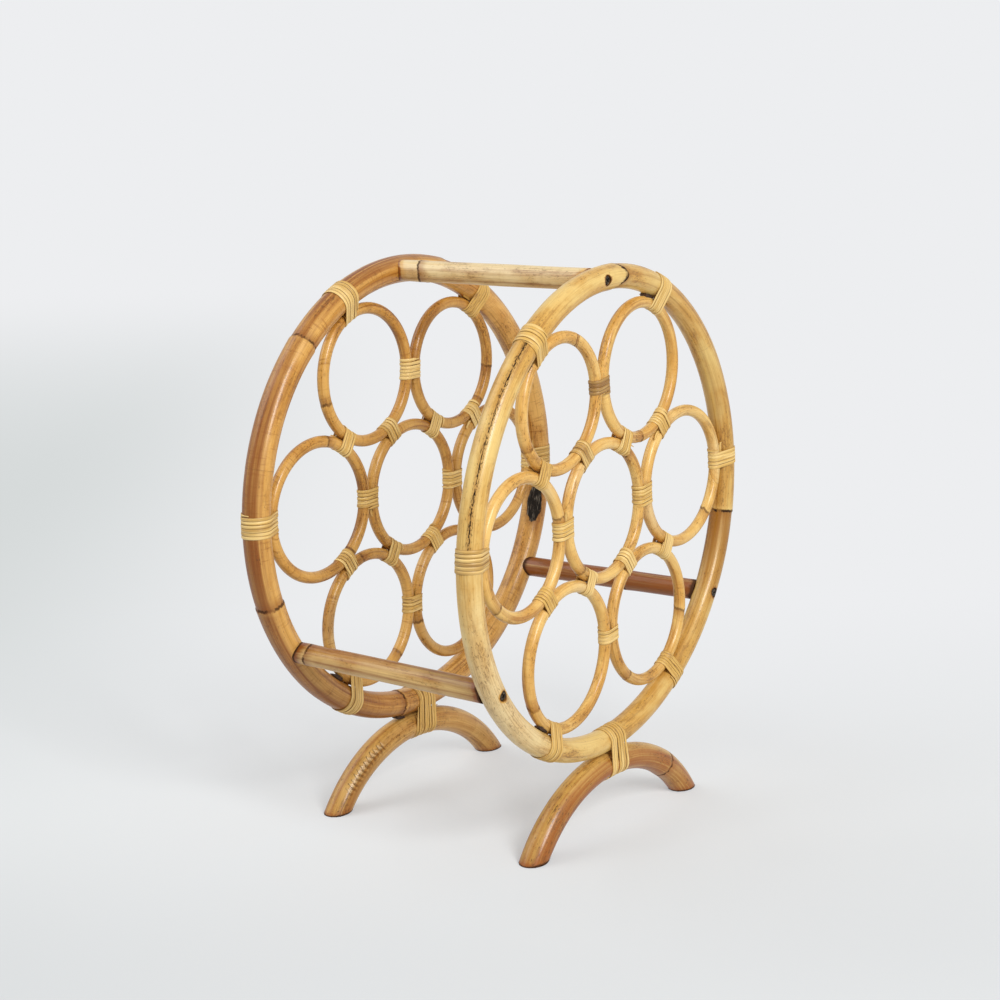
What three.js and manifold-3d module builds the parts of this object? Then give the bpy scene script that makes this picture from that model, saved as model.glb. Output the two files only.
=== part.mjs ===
// Cane wine rack. Two round hoops of bent pole stand one behind the other, and three straight struts
// hold them apart. Each hoop carries seven rings of thin cane, one in the middle and six round it,
// and a bottle lies through a front ring and the back ring behind it. Each hoop stands on an arched
// foot. Wherever two canes touch, a strip of flat peel is wound round both of them.
// The poles were bent by hand, so no hoop is a true circle, and its outer rings are pressed a little
// long or short to fill the room between the hoop and the middle ring.
// Millimetres, +Z up. X runs across the front from left to right, and Y from the front hoop to the
// back hoop. The origin is on the floor, under the middle of the rack.
import * as THREE from "three";
import { mergeVertices } from "three/addons/utils/BufferGeometryUtils.js";
import Module from "manifold-3d";

const wasm = await Module();
wasm.setup();

const degrees = THREE.MathUtils.degToRad;

// The canes and poles
const frontHoopPoleDiameter = 18;
const backHoopPoleDiameter = 20.6;
const ringCaneDiameter = 8.8;
const strutPoleDiameter = 16;
const footPoleDiameter = 20;

// The layout. The foot rise is the room for the foot between the floor and the front hoop.
const bottleBore = 89.4;
const hoopSpacing = 181;
const footRise = 57.3;

// Each hoop's own shape: its mean bore, how far it is pressed oval, and how far it has three lobes.
// Angles in a hoop run from +X towards +Z.
const frontHoopBore = 324.4;
const frontHoopOval = 3;
const frontHoopLobe = 1.4;
const frontOvalTowards = degrees(37);
const frontLobeTowards = degrees(-21);
const backHoopBore = 326.2;
const backHoopOval = 3.5;
const backHoopLobe = 0.3;
const backOvalTowards = degrees(-15);
const backLobeTowards = degrees(-25);

// Where the middle ring of each side has ended up, off the middle of its hoop
const frontRingsShift = 6.9;
const backRingsShift = 1.9;
const frontShiftTowards = degrees(144);
const backShiftTowards = degrees(20);
const frontRingTurn = degrees(2.2);
const backRingTurn = degrees(-2.6);

// The struts and the feet. Both feet are also twisted a little out of the hoops' planes.
const strutAngles = { top: degrees(93.2), left: degrees(212), right: degrees(327) };
const frontFootBend = 110;
const backFootBend = 107;
const frontFootAngle = degrees(268.4);
const backFootAngle = degrees(269.4);
const footTwist = degrees(-5.5);

// The strips of peel that bind the canes
const peelWidth = 2.8;
const peelThickness = 0.7;
const peelSpacing = 0.6;
const ringTieTurns = 3;
const hoopTieTurns = 4;
const footTieTurns = 5;

// The screws that run through each hoop into the ends of the struts
const screwHeadDiameter = 6.4;
const screwHeadThickness = 1.5;
const screwShankDiameter = 3.8;
const screwBite = 20;
const screwSink = 0.6;

// How the pieces meet
const touchGap = 0.3;
const peelClearance = 0.4;
const copeDepth = 3;
const cutOverrun = 6;

// How finely the round shapes are cut into flats
const hoopBends = 54;
const hoopFlats = 12;
const ringBends = 24;
const ringFlats = 8;
const strutFlats = 16;
const footSteps = 14;
const footFlats = 12;
const screwFlats = 12;
const tieSteps = 8;
const footTieSteps = 10;

// What follows from the sizes above
const hoopHeight = footRise + frontHoopPoleDiameter + frontHoopBore / 2;
const ringPlaces = ["right", "upper_right", "upper_left", "left", "lower_left", "lower_right"];
const rimPlaces = ["right_high", "top", "left_high", "left_low", "bottom", "right_low"];
const ringPitchAngle = (2 * Math.PI) / ringPlaces.length;
const ringRadius = (bottleBore + ringCaneDiameter) / 2;
const ringOuterRadius = bottleBore / 2 + ringCaneDiameter;
const ringStep = 2 * ringOuterRadius + touchGap;
const acrossShare = 1 / 3;
const fittingRounds = 6;
const farEndSamples = 200;
const hoopAxis = new THREE.Vector3(0, -1, 0);
const peelPitch = peelWidth + peelSpacing;

const sides = [
  {
    name: "front",
    y: -hoopSpacing / 2,
    pole: frontHoopPoleDiameter,
    bore: frontHoopBore,
    oval: { depth: frontHoopOval, towards: frontOvalTowards },
    lobe: { depth: frontHoopLobe, towards: frontLobeTowards },
    middle: onCircle(frontRingsShift, frontShiftTowards),
    turn: frontRingTurn,
    foot: { bend: frontFootBend, angle: frontFootAngle },
  },
  {
    name: "back",
    y: hoopSpacing / 2,
    pole: backHoopPoleDiameter,
    bore: backHoopBore,
    oval: { depth: backHoopOval, towards: backOvalTowards },
    lobe: { depth: backHoopLobe, towards: backLobeTowards },
    middle: onCircle(backRingsShift, backShiftTowards),
    turn: backRingTurn,
    foot: { bend: backFootBend, angle: backFootAngle },
  },
];

// The colours of the canes
const finish = (color, roughness) => new THREE.MeshStandardMaterial({ color, roughness });
const finishes = {
  hoop: finish(0xcf9d5c, 0.42),
  ring: finish(0xd3a061, 0.45),
  strut: finish(0xa9713c, 0.45),
  foot: finish(0xb07a40, 0.45),
  peel: finish(0xd9b06c, 0.55),
};

function named(name, geometry, material) {
  const mesh = new THREE.Mesh(geometry, material);
  mesh.name = name;
  return mesh;
}

// A point of the hoop's own plane, at an angle that runs from +X towards +Z
function onCircle(radius, angle) {
  return new THREE.Vector3(radius * Math.cos(angle), 0, radius * Math.sin(angle));
}

// Turns a piece in the plane of its hoop, from +X towards +Z
function turnInPlane(mesh, angle) {
  mesh.rotation.y = -angle;
  return mesh;
}

// The solid that cuts and joins are made with
function solidOf(geometry) {
  const bare = new THREE.BufferGeometry();
  bare.setAttribute("position", geometry.getAttribute("position"));
  bare.setIndex(geometry.index);
  const merged = mergeVertices(bare, touchGap / 100);
  const corners = merged.index.array;
  const triVerts = [];
  for (let i = 0; i < corners.length; i += 3) {
    const [a, b, c] = [corners[i], corners[i + 1], corners[i + 2]];
    if (a !== b && b !== c && c !== a) triVerts.push(a, b, c);
  }
  const mesh = new wasm.Mesh({
    numProp: 3,
    vertProperties: merged.attributes.position.array,
    triVerts: new Uint32Array(triVerts),
  });
  return new wasm.Manifold(mesh);
}

function geometryOf(solid) {
  const mesh = solid.getMesh();
  const geometry = new THREE.BufferGeometry();
  geometry.setAttribute("position", new THREE.BufferAttribute(new Float32Array(mesh.vertProperties), 3));
  geometry.setIndex(new THREE.BufferAttribute(new Uint32Array(mesh.triVerts), 1));
  return geometry;
}

// How far a hoop departs from its mean circle, at an angle
function departure({ oval, lobe }, angle) {
  const ovalPart = oval.depth * Math.cos(2 * (angle - oval.towards));
  const lobePart = lobe.depth * Math.cos(3 * (angle - lobe.towards));
  return ovalPart + lobePart;
}

// The radius of a hoop's middle line at an angle
function hoopRadius(side, angle) {
  return (side.bore + side.pole) / 2 + departure(side, angle);
}

// The direction that a hoop's middle line faces outwards at an angle
function hoopFacing(side, angle) {
  const { oval, lobe } = side;
  const ovalSlope = -2 * oval.depth * Math.sin(2 * (angle - oval.towards));
  const lobeSlope = -3 * lobe.depth * Math.sin(3 * (angle - lobe.towards));
  return angle - Math.atan((ovalSlope + lobeSlope) / hoopRadius(side, angle));
}

// A point beside a hoop's middle line, out from it along the direction that it faces
function besideHoop(side, angle, out) {
  return onCircle(hoopRadius(side, angle), angle).add(onCircle(out, hoopFacing(side, angle)));
}

// A cane bent to a closed round, in the plane of its hoop, whose flats stand exactly on the round's own
// sizes. A flat faces +X, and one faces every ring when the flats are a multiple of the rings.
// The along and across of pressed say how far it is pushed out along X and along Z at an angle.
function bentCane(radius, caneRadius, bends, flats, pressed) {
  const geometry = new THREE.TorusGeometry(radius, caneRadius, flats, bends);
  const mitre = 1 / Math.cos(Math.PI / bends);
  geometry.scale(mitre, mitre, 1);
  geometry.rotateZ(Math.PI / bends);
  geometry.rotateX(Math.PI / 2);
  const places = geometry.getAttribute("position");
  for (let i = 0; i < places.count; i += 1) {
    const angle = Math.atan2(places.getZ(i), places.getX(i));
    const { along, across } = pressed(angle);
    places.setX(i, places.getX(i) + along * Math.cos(angle));
    places.setZ(i, places.getZ(i) + across * Math.sin(angle));
  }
  return geometry;
}

// The round pole of a hoop, grown all round by a little where it cuts a seat
function hoopPole(side, growth) {
  const pressed = (angle) => {
    const depth = departure(side, angle);
    return { along: depth, across: depth };
  };
  return bentCane((side.bore + side.pole) / 2, side.pole / 2 + growth, hoopBends, hoopFlats, pressed);
}

// How far a ring's half widths grow, along its own X and across it, when it is pressed longer in all.
// Across it keeps a little clear of the rings beside it.
function pressedBy(longer) {
  return { along: longer / 2, across: (longer / 2) * acrossShare - touchGap / 2 };
}

function ringCane(longer) {
  return bentCane(ringRadius, ringCaneDiameter / 2, ringBends, ringFlats, () => pressedBy(longer));
}

// A screw along +Y with the top of its head at the origin. Grown, it is the hole that the screw runs in.
function screw(pole, growth, overrun) {
  const headRadius = screwHeadDiameter / 2 + growth;
  const shankRadius = screwShankDiameter / 2 + growth;
  const underHead = screwHeadThickness + growth;
  const tip = pole - screwSink + screwBite;
  const profile = [
    new THREE.Vector2(0, -overrun),
    new THREE.Vector2(headRadius, -overrun),
    new THREE.Vector2(headRadius, underHead),
    new THREE.Vector2(shankRadius, underHead),
    new THREE.Vector2(shankRadius, tip),
    new THREE.Vector2(0, tip),
  ];
  return new THREE.LatheGeometry(profile, screwFlats);
}

// The line of a strut, from the middle of the front hoop's pole to the middle of the back hoop's
function strutLine(angle) {
  const [start, end] = sides.map((side) => onCircle(hoopRadius(side, angle), angle).setY(side.y));
  const run = end.clone().sub(start);
  const turn = new THREE.Quaternion().setFromUnitVectors(new THREE.Vector3(0, 1, 0), run.clone().normalize());
  const frame = new THREE.Matrix4().compose(start, turn, new THREE.Vector3(1, 1, 1));
  return { frame, length: run.length() };
}

// The screws of one strut, in the rack's frame, each pointing at the other
function screwPair(angle, growth, overrun) {
  const { frame, length } = strutLine(angle);
  const [frontSide, backSide] = sides;
  const front = screw(frontSide.pole, growth, overrun);
  front.translate(0, screwSink - frontSide.pole / 2, 0);
  const back = screw(backSide.pole, growth, overrun);
  back.rotateX(Math.PI);
  back.translate(0, length + backSide.pole / 2 - screwSink, 0);
  return [front, back].map((one) => solidOf(one.applyMatrix4(frame)));
}

// A hoop with the holes of its three screws, in the plane of its own side
function hoop(side) {
  let solid = solidOf(hoopPole(side, 0));
  for (const angle of Object.values(strutAngles)) {
    for (const hole of screwPair(angle, touchGap, cutOverrun)) {
      solid = solid.subtract(hole.translate([0, -side.y, 0]));
    }
  }
  return geometryOf(solid);
}

// A strut with its two screws. Its ends are coped to sit against the round of the hoops.
function strut(angle) {
  const { frame, length } = strutLine(angle);
  const [start, end] = sides.map(({ pole }) => pole / 2 + touchGap - copeDepth);
  const poleLength = length - start - end;
  const radius = strutPoleDiameter / 2;
  const pole = new THREE.CylinderGeometry(radius, radius, poleLength, strutFlats);
  pole.translate(0, start + poleLength / 2, 0);
  let solid = solidOf(pole.applyMatrix4(frame));
  for (const side of sides) {
    const seat = hoopPole(side, touchGap);
    seat.translate(0, side.y, 0);
    solid = solid.subtract(solidOf(seat));
  }
  for (const one of screwPair(angle, 0, 0)) {
    solid = solid.add(one);
  }
  return geometryOf(solid);
}

// The middle line of an arched foot, in its own plane, from past its left end to past its right end
class FootArch extends THREE.Curve {
  constructor(bend, centreHeight) {
    super();
    this.bend = bend;
    this.centreHeight = centreHeight;
    this.halfAngle = Math.acos(-(centreHeight + footPoleDiameter) / bend);
  }

  getPoint(share) {
    const lean = this.halfAngle * (2 * share - 1);
    return new THREE.Vector3(this.bend * Math.sin(lean), 0, this.centreHeight + this.bend * Math.cos(lean));
  }
}

// A foot: a pole bent to an arc, with both ends cut off level on the floor
function footPole(bend, centreHeight) {
  const section = [];
  for (let i = 0; i < footFlats; i += 1) {
    const angle = (2 * Math.PI * i) / footFlats;
    section.push(new THREE.Vector2(Math.cos(angle), Math.sin(angle)).multiplyScalar(footPoleDiameter / 2));
  }
  const pole = new THREE.ExtrudeGeometry(new THREE.Shape(section), {
    steps: footSteps,
    bevelEnabled: false,
    extrudePath: new FootArch(bend, centreHeight),
  });
  const floorDepth = 2 * footPoleDiameter;
  const floor = new THREE.BoxGeometry(2 * (bend + footPoleDiameter), floorDepth, floorDepth);
  floor.translate(0, 0, -floorDepth / 2);
  return geometryOf(solidOf(pole).subtract(solidOf(floor)));
}

// The foot of one side, seated under its hoop where both curves touch, and twisted about that place
function foot(side) {
  const { bend, angle } = side.foot;
  const seat = besideHoop(side, angle, (side.pole + touchGap) / 2);
  const centre = besideHoop(side, angle, side.pole / 2 + touchGap + footPoleDiameter / 2 + bend);
  const pole = named(`foot_${side.name}`, footPole(bend, hoopHeight + centre.z), finishes.foot);
  pole.position.x = centre.x - seat.x;
  const twisted = new THREE.Group();
  twisted.add(pole);
  twisted.position.set(seat.x, 0, -hoopHeight);
  twisted.rotation.z = footTwist;
  return twisted;
}

// How far the middle line of a bent cane has curved off, at a distance along its tangent
function curvedOff(bend, along) {
  return bend - Math.sqrt(bend ** 2 - along ** 2);
}

// A strip of peel wound round two canes that touch at the origin, one towards -X and one towards +X.
// Both canes run along Z there. A cane has its radius, the bend of its middle line, the way to the
// middle of that bend, -1 for -X and 1 for +X, and the slant with which it drifts towards +Y along Z.
// The strip climbs along Z, and its flats follow the tightest belt round both canes, which widens as
// the canes curve apart.
function binding(left, right, turns, stepsInTurn) {
  const reachOf = (cane, way, direction, along) => {
    const x = way * (cane.radius + touchGap / 2) + cane.bendWay * curvedOff(cane.bend, along);
    const y = cane.slant * along;
    return x * Math.cos(direction) + y * Math.sin(direction) + cane.radius;
  };
  const reach = (direction, along, clearance) =>
    clearance + Math.max(reachOf(left, -1, direction, along), reachOf(right, 1, direction, along));

  // The directions that the belt's flats face: the two straight runs lie along both canes
  const straight = Math.acos((left.radius - right.radius) / (left.radius + right.radius + touchGap));
  const rightSteps = Math.round((stepsInTurn * straight) / Math.PI);
  const leftSteps = stepsInTurn - rightSteps;
  const directions = [];
  for (let i = 0; i < rightSteps; i += 1) {
    directions.push(-straight + (2 * straight * i) / rightSteps);
  }
  for (let i = 0; i < leftSteps; i += 1) {
    directions.push(straight + (2 * (Math.PI - straight) * i) / leftSteps);
  }

  // The corner of the belt between one flat and the next
  const corner = (step, along, clearance) => {
    const here = directions[step % stepsInTurn];
    const next = directions[(step + 1) % stepsInTurn];
    const hereReach = reach(here, along, clearance);
    const nextReach = reach(next, along, clearance);
    const fold = Math.sin(next - here);
    const x = (hereReach * Math.sin(next) - nextReach * Math.sin(here)) / fold;
    const y = (nextReach * Math.cos(here) - hereReach * Math.cos(next)) / fold;
    return new THREE.Vector3(x, y, along);
  };

  const rows = [];
  for (let step = 0; step <= turns * stepsInTurn; step += 1) {
    const along = peelPitch * (step / stepsInTurn - turns / 2);
    const low = along - peelWidth / 2;
    const high = along + peelWidth / 2;
    const outside = peelClearance + peelThickness;
    rows.push([
      corner(step, low, peelClearance),
      corner(step, low, outside),
      corner(step, high, outside),
      corner(step, high, peelClearance),
    ]);
  }
  return rows;
}

// The closed skin over the rows of a strip
function stripGeometry(rows) {
  const perRow = rows[0].length;
  const last = (rows.length - 1) * perRow;
  const index = [0, 1, 2, 0, 2, 3, last, last + 2, last + 1, last, last + 3, last + 2];
  for (let row = 0; row < last; row += perRow) {
    for (let i = 0; i < perRow; i += 1) {
      const a = row + i;
      const b = row + ((i + 1) % perRow);
      index.push(a, b + perRow, b, a, a + perRow, b + perRow);
    }
  }
  const geometry = new THREE.BufferGeometry().setFromPoints(rows.flat());
  geometry.setIndex(index);
  return geometry;
}

// The least distance between points of a strip that lie more than half a turn apart
function leastGapToItself(rows, stepsInTurn) {
  const pointsInStep = 4;
  const points = [];
  for (let row = 0; row + 1 < rows.length; row += 1) {
    for (let part = 0; part < pointsInStep; part += 1) {
      const share = part / pointsInStep;
      points.push(rows[row].map((point, i) => point.clone().lerp(rows[row + 1][i], share)));
    }
  }
  let least = Infinity;
  const halfTurn = (stepsInTurn * pointsInStep) / 2;
  for (let i = 0; i < points.length; i += 1) {
    for (let j = i + halfTurn; j < points.length; j += 1) {
      for (const a of points[i]) {
        for (const b of points[j]) least = Math.min(least, a.distanceTo(b));
      }
    }
  }
  return least;
}

function tie(kind, left, right, turns, stepsInTurn) {
  const rows = binding(left, right, turns, stepsInTurn);
  const least = leastGapToItself(rows, stepsInTurn);
  console.log(`${kind}: ${turns} turns, least gap to itself ${least.toFixed(2)} mm`);
  return stripGeometry(rows);
}

// The canes as a binding meets them
const ringAtLeft = { radius: ringCaneDiameter / 2, bend: ringRadius, bendWay: -1, slant: 0 };
const ringAtRight = { radius: ringCaneDiameter / 2, bend: ringRadius, bendWay: 1, slant: 0 };
const ringTieGeometry = tie("Ring to ring tie", ringAtLeft, ringAtRight, ringTieTurns, tieSteps);

// A hoop as a binding meets it at the left, with its middle away to one side or the other
function hoopAtLeft({ bore, pole }, bendWay) {
  return { radius: pole / 2, bend: (bore + pole) / 2, bendWay, slant: 0 };
}

// The binding between a hoop and its foot
function footTie(side) {
  const { bend, angle } = side.foot;
  const footUnderHoop = { radius: footPoleDiameter / 2, bend, bendWay: 1, slant: Math.tan(footTwist) };
  const hoopOverFoot = hoopAtLeft(side, -1);
  const geometry = tie(`Foot tie, ${side.name}`, hoopOverFoot, footUnderHoop, footTieTurns, footTieSteps);
  const mesh = named(`foot_tie_${side.name}`, geometry, finishes.peel);
  mesh.position.copy(besideHoop(side, angle, (side.pole + touchGap) / 2));
  return turnInPlane(mesh, hoopFacing(side, angle));
}

// A point on the outside of an outer ring, at an angle in the ring's own frame
function onRing({ centre, angle, longer }, ownAngle, outerRadius) {
  const { along, across } = pressedBy(longer);
  const x = (outerRadius + along) * Math.cos(ownAngle);
  const z = (outerRadius + across) * Math.sin(ownAngle);
  return new THREE.Vector3(x, 0, z).applyAxisAngle(hoopAxis, angle).add(centre);
}

// The point of an outer ring's outside that reaches furthest in a direction
function furthest({ centre, angle, longer }, facing) {
  const { along, across } = pressedBy(longer);
  const x = (ringRadius + along) * Math.cos(facing - angle);
  const z = (ringRadius + across) * Math.sin(facing - angle);
  const reach = Math.hypot(x, z);
  const middleLine = new THREE.Vector3((ringRadius + along) * x, 0, (ringRadius + across) * z);
  middleLine.divideScalar(reach);
  return middleLine.applyAxisAngle(hoopAxis, angle).add(onCircle(ringCaneDiameter / 2, facing)).add(centre);
}

// The place of a ring's outside that is nearest to the inside of its hoop
function nearestToHoop(side, plan, ownAngles, outerRadius) {
  let nearest = { standOff: Infinity };
  for (const ownAngle of ownAngles) {
    const point = onRing(plan, ownAngle, outerRadius);
    const hoopAngle = Math.atan2(point.z, point.x);
    const standOff = hoopRadius(side, hoopAngle) - side.pole / 2 - point.length();
    if (standOff < nearest.standOff) nearest = { standOff, hoopAngle };
  }
  return nearest;
}

// The outer rings of a side: each is pressed until its corners just clear the inside of the hoop
const ringCorners = [];
for (let i = 0; i < ringBends; i += 1) {
  ringCorners.push((2 * Math.PI * (i + 1 / 2)) / ringBends);
}
const farEnd = [];
for (let i = 0; i <= farEndSamples; i += 1) {
  farEnd.push((i / farEndSamples - 1 / 2) * ringPitchAngle);
}

function outerRings(side) {
  return ringPlaces.map((place, i) => {
    const angle = side.turn + i * ringPitchAngle;
    const plan = { place, angle, longer: 0 };
    const centreNow = () => onCircle(ringStep + plan.longer / 2, angle).add(side.middle);
    for (let round = 0; round < fittingRounds; round += 1) {
      plan.centre = centreNow();
      const cornerRadius = ringOuterRadius / Math.cos(Math.PI / ringBends);
      plan.longer += nearestToHoop(side, plan, ringCorners, cornerRadius).standOff - touchGap;
    }
    plan.centre = centreNow();
    plan.hoopAngle = nearestToHoop(side, plan, farEnd, ringOuterRadius).hoopAngle;
    return plan;
  });
}

// One side of the rack, in the plane of its hoop, with the hoop's middle at the group's origin
function rackSide(side) {
  const group = new THREE.Group();
  group.add(named(`hoop_${side.name}`, hoop(side), finishes.hoop));

  const middleRing = named(`ring_${side.name}_centre`, ringCane(0), finishes.ring);
  middleRing.position.copy(side.middle);
  group.add(turnInPlane(middleRing, side.turn));

  const kind = `Hoop to ring tie, ${side.name}`;
  const hoopTieGeometry = tie(kind, hoopAtLeft(side, 1), ringAtRight, hoopTieTurns, tieSteps);
  const plans = outerRings(side);
  plans.forEach((plan, i) => {
    const next = plans[(i + 1) % plans.length];
    const ring = named(`ring_${side.name}_${plan.place}`, ringCane(plan.longer), finishes.ring);
    ring.position.copy(plan.centre);
    group.add(turnInPlane(ring, plan.angle));

    const spokeTie = named(`centre_tie_${side.name}_${plan.place}`, ringTieGeometry, finishes.peel);
    spokeTie.position.copy(onCircle(ringStep / 2, plan.angle).add(side.middle));
    group.add(turnInPlane(spokeTie, plan.angle));

    const facing = Math.atan2(next.centre.z - plan.centre.z, next.centre.x - plan.centre.x);
    const rimTie = named(`rim_tie_${side.name}_${rimPlaces[i]}`, ringTieGeometry, finishes.peel);
    rimTie.position.copy(furthest(plan, facing)).add(furthest(next, facing + Math.PI)).divideScalar(2);
    group.add(turnInPlane(rimTie, facing));

    const hoopTie = named(`hoop_tie_${side.name}_${plan.place}`, hoopTieGeometry, finishes.peel);
    hoopTie.position.copy(besideHoop(side, plan.hoopAngle, -(side.pole + touchGap) / 2));
    group.add(turnInPlane(hoopTie, hoopFacing(side, plan.hoopAngle) + Math.PI));
  });

  group.add(foot(side));
  group.add(footTie(side));
  group.position.y = side.y;
  return group;
}

const rack = new THREE.Group();
for (const side of sides) {
  rack.add(rackSide(side));
}
for (const [place, angle] of Object.entries(strutAngles)) {
  rack.add(named(`strut_${place}`, strut(angle), finishes.strut));
}
rack.position.z = hoopHeight;

const wineRack = new THREE.Group();
wineRack.add(rack);

export default wineRack;
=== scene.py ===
# %% [markdown]
# # A cane wine rack
# Two hoops of bent cane stand one behind the other on arched feet. Each is filled with seven rings of
# thin cane, and a bottle lies through a front ring and the ring behind it. The solid model comes first,
# as a frame that nothing here may move. Each of its pieces is then replaced by a finer one in its place.

# %% Load the solid model
import cmath
from contextlib import contextmanager
from math import acos, atan, copysign, cos, degrees, hypot, pi, radians, sin, tan, tau

import bmesh
import bpy
import numpy as np
from mathutils import Matrix, Vector


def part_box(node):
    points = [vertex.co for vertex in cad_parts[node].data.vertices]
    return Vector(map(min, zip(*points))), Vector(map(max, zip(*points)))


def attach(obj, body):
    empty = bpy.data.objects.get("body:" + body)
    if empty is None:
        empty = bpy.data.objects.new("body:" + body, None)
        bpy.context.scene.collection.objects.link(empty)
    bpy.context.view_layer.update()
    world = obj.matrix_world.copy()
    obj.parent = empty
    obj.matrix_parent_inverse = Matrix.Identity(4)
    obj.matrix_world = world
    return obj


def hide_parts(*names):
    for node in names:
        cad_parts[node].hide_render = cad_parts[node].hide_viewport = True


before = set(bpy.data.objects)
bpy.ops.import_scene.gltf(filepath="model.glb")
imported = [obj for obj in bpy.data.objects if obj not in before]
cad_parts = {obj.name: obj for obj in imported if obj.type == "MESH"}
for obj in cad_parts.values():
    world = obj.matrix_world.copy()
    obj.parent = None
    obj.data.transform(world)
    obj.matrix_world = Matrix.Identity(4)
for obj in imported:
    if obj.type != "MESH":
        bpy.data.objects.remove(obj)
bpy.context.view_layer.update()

# %% [markdown]
# The camera stands to the left of the rack and a little above it, and far off, so that the two hoops
# look almost the same size. Its three axes are worked out from the angles, and the roll is the slight
# tilt with which a camera is held by hand.

# %% Camera
hoop_height = 0.2375
azimuth, elevation, roll = (radians(angle) for angle in (-54.65, 13.08, -1.55))
camera_distance = 1.4617
aim_right, aim_up = -0.0041, 0.0007
lens_length, sensor_width = 70.12, 36

away = Vector((sin(azimuth) * cos(elevation), -cos(azimuth) * cos(elevation), sin(elevation)))
level_right = (-away).cross(Vector((0, 0, 1))).normalized()
level_up = level_right.cross(-away)
right = level_right * cos(roll) + level_up * sin(roll)
up = level_up * cos(roll) - level_right * sin(roll)
stand = Vector((0, 0, hoop_height)) + away * camera_distance + right * aim_right + up * aim_up
bpy.ops.object.camera_add()
camera = bpy.context.object
camera.name = "camera"
camera.data.lens = lens_length
camera.data.sensor_width = sensor_width
camera.matrix_world = Matrix.Translation(stand) @ Matrix((right, up, away)).transposed().to_4x4()
bpy.context.scene.camera = camera
print("camera at", tuple(round(number, 3) for number in stand))

# %% [markdown]
# ## The layout
# All the round pieces lie in the plane of a hoop, so a place there is one complex number: the real part
# runs to the right and the imaginary part upwards. Turning by an angle is then a product. The hoops were
# bent by hand, so each is a circle pressed slightly oval and slightly three-lobed.

# %% Sizes of the canes
mm = 0.001
touch_gap = 0.3 * mm
bottle_bore = 89.4 * mm
ring_cane = 8.8 * mm
strut_pole = 16 * mm
foot_pole = 20 * mm
hoop_spacing = 181 * mm
foot_twist = radians(-5.5)
ring_radius = (bottle_bore + ring_cane) / 2
ring_outer_radius = bottle_bore / 2 + ring_cane
ring_step = 2 * ring_outer_radius + touch_gap
ring_places = ("right", "upper_right", "upper_left", "left", "lower_left", "lower_right")
rim_places = ("right_high", "top", "left_high", "left_low", "bottom", "right_low")
strut_angles = {"top": radians(93.2), "left": radians(212), "right": radians(327)}
print("a ring is", round(2 * ring_outer_radius / mm, 1), "mm across and leaves a bottle", bottle_bore / mm)

# %% The two sides


class Side:
    """One hoop with its rings and its foot, given in millimetres and degrees."""

    def __init__(self, name, y, pole, bore, oval, lobe, middle, turn, foot_bend, foot_angle):
        self.name, self.y, self.pole, self.outwards = name, y, pole * mm, copysign(1, y)
        self.hoop_bend = (bore + pole) / 2 * mm
        self.oval, self.oval_to = oval[0] * mm, radians(oval[1])
        self.lobe, self.lobe_to = lobe[0] * mm, radians(lobe[1])
        self.middle = cmath.rect(middle[0] * mm, radians(middle[1]))
        self.turn, self.foot_bend, self.foot_angle = radians(turn), foot_bend * mm, radians(foot_angle)

    def radius(self, angle):
        """The radius of the hoop's middle line at an angle."""
        oval = self.oval * np.cos(2 * (angle - self.oval_to))
        return self.hoop_bend + oval + self.lobe * np.cos(3 * (angle - self.lobe_to))

    def facing(self, angle):
        """The direction that the hoop's middle line faces outwards at an angle."""
        oval_slope = 2 * self.oval * np.sin(2 * (angle - self.oval_to))
        lobe_slope = 3 * self.lobe * np.sin(3 * (angle - self.lobe_to))
        return angle + atan((oval_slope + lobe_slope) / self.radius(angle))

    def beside(self, angle, out):
        """A place beside the hoop's middle line, out from it."""
        return cmath.rect(self.radius(angle), angle) + cmath.rect(out, self.facing(angle))


front = Side("front", -hoop_spacing / 2, pole=18, bore=324.4, oval=(3, 37), lobe=(1.4, -21),
             middle=(6.9, 144), turn=2.2, foot_bend=110, foot_angle=268.4)
back = Side("back", hoop_spacing / 2, pole=20.6, bore=326.2, oval=(3.5, -15), lobe=(0.3, -25),
            middle=(1.9, 20), turn=-2.6, foot_bend=107, foot_angle=269.4)
sides = (front, back)
for side in sides:
    widths = [round(side.radius(radians(angle)) / mm, 1) for angle in (0, 90, 180, 270)]
    print(side.name, "hoop's middle line:", widths, "mm from its middle")

# %% [markdown]
# The outer rings are laid round the middle one. Each is pressed a little long or short until it just
# clears the inside of its hoop, as the maker does by hand before binding it.

# %% One ring


class Ring:
    """One ring of a side: its middle, the way that it faces, and how much longer it is pressed."""

    def __init__(self, side, place, angle, longer=0.0, reach=0.0):
        self.side, self.place, self.angle, self.longer = side, place, angle, longer
        self.centre = side.middle + cmath.rect(reach, angle)
        # The middle ring stays round, and the others grow along the way that they face and across it
        self.along, self.across = (longer / 2, longer / 6 - touch_gap / 2) if reach else (0.0, 0.0)

    def at(self, own_angle, reach):
        """A place on the ring at an angle of its own and a reach from its middle."""
        place = (reach + self.along) * np.cos(own_angle) + 1j * (reach + self.across) * np.sin(own_angle)
        return place * cmath.exp(1j * self.angle) + self.centre

    def nearest_to_hoop(self, own_angles, reach):
        """The least room to the hoop at these angles, and the angle in the hoop where it is."""
        places = self.at(own_angles, reach)
        in_hoop = np.angle(places)
        room = self.side.radius(in_hoop) - self.side.pole / 2 - abs(places)
        least = room.argmin()
        return room[least], in_hoop[least]

    def furthest(self, facing):
        """The place on its outside that reaches furthest in a direction."""
        wide, high = ring_radius + self.along, ring_radius + self.across
        x, z = wide * cos(facing - self.angle), high * sin(facing - self.angle)
        line = complex(wide * x, high * z) / hypot(x, z)
        return line * cmath.exp(1j * self.angle) + cmath.rect(ring_cane / 2, facing) + self.centre


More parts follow.
